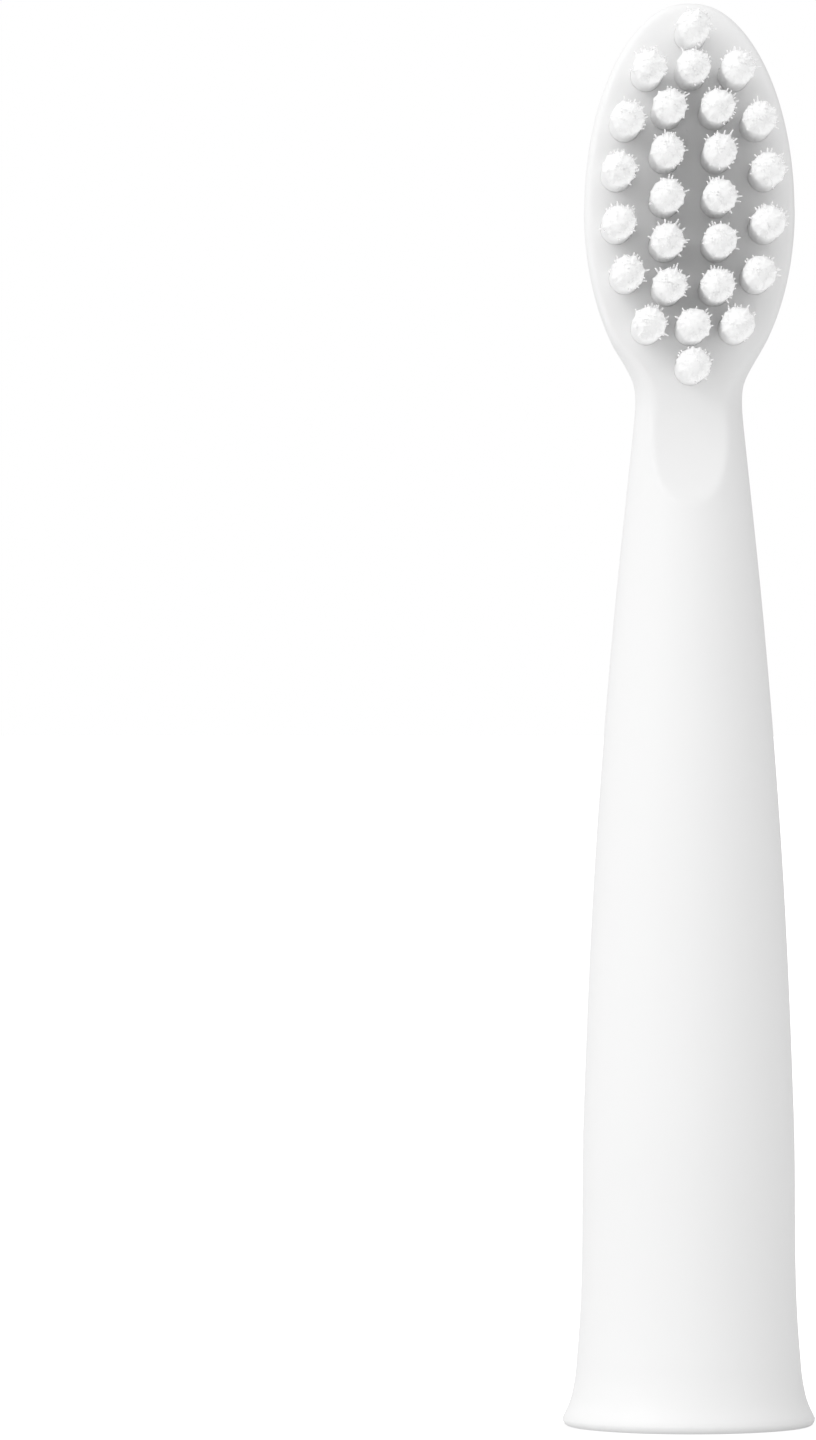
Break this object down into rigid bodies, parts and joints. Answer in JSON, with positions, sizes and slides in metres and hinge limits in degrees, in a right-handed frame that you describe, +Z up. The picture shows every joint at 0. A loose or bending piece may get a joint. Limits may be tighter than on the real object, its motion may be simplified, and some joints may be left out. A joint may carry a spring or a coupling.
{
  "type": "electric toothbrush head",
  "caption": "White brush head for an electric toothbrush: oval field of bristle tufts, slim scalloped neck, tapering hollow stem and flared base that pushes onto a handle's shaft.",
  "frame": {"origin": "centre of the base rim, on the stem's axis, in the plane the brush head stands on", "axes": "+Z up the stem to the tip of the head, -Y the way the bristles point, +X to the right in the picture"},
  "size_m": [0.0142, 0.0176, 0.08],
  "materials": {
    "body": "white moulded plastic",
    "bristle": "white nylon",
    "socket": "natural acetal",
    "anchor": "rolled",
    "clip": "spring strip"
  },
  "bodies": {
    "root": {"brush_body": "body", "drive_socket": "socket", "shaft_clip": "clip", "tuft_anchors": "anchor", "tuft_01": "bristle", "tuft_02": "bristle", "tuft_03": "bristle", "tuft_04": "bristle", "tuft_05": "bristle", "tuft_06": "bristle", "tuft_07": "bristle", "tuft_08": "bristle", "tuft_09": "bristle", "tuft_10": "bristle", "tuft_11": "bristle", "tuft_12": "bristle", "tuft_13": "bristle", "tuft_14": "bristle", "tuft_15": "bristle", "tuft_16": "bristle", "tuft_17": "bristle", "tuft_18": "bristle", "tuft_19": "bristle", "tuft_20": "bristle", "tuft_21": "bristle", "tuft_22": "bristle", "tuft_23": "bristle", "tuft_24": "bristle", "tuft_25": "bristle", "tuft_26": "bristle"}
  },
  "joints": []
}
